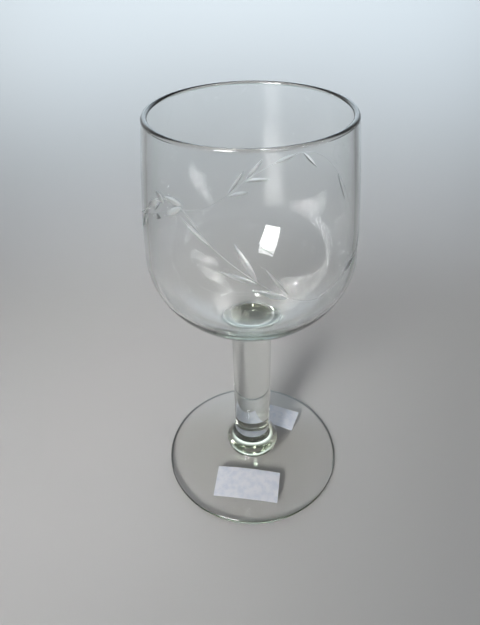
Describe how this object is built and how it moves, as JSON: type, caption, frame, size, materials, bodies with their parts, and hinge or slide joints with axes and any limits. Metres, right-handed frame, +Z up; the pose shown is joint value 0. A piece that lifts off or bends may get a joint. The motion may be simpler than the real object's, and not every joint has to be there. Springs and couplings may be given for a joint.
{
  "type": "wine glass",
  "caption": "Stemmed wine glass with a tulip bowl cut with a leaf garland, a plain round stem on a collar and a shallow conical foot with paper labels.",
  "frame": {"origin": "middle of the face the foot rests on", "axes": "+Z up along the glass's own axis, -Y towards the front label"},
  "size_m": [0.0706, 0.0706, 0.145],
  "materials": {
    "glass": "clear, pale green, fire polished, with lightly frosted wheel cuts",
    "label_paper": "matt white paper"
  },
  "bodies": {
    "root": {"bowl": "glass", "stem": "glass", "knop": "glass", "foot": "glass", "label_front": "label_paper", "label_rear": "label_paper"}
  },
  "joints": []
}
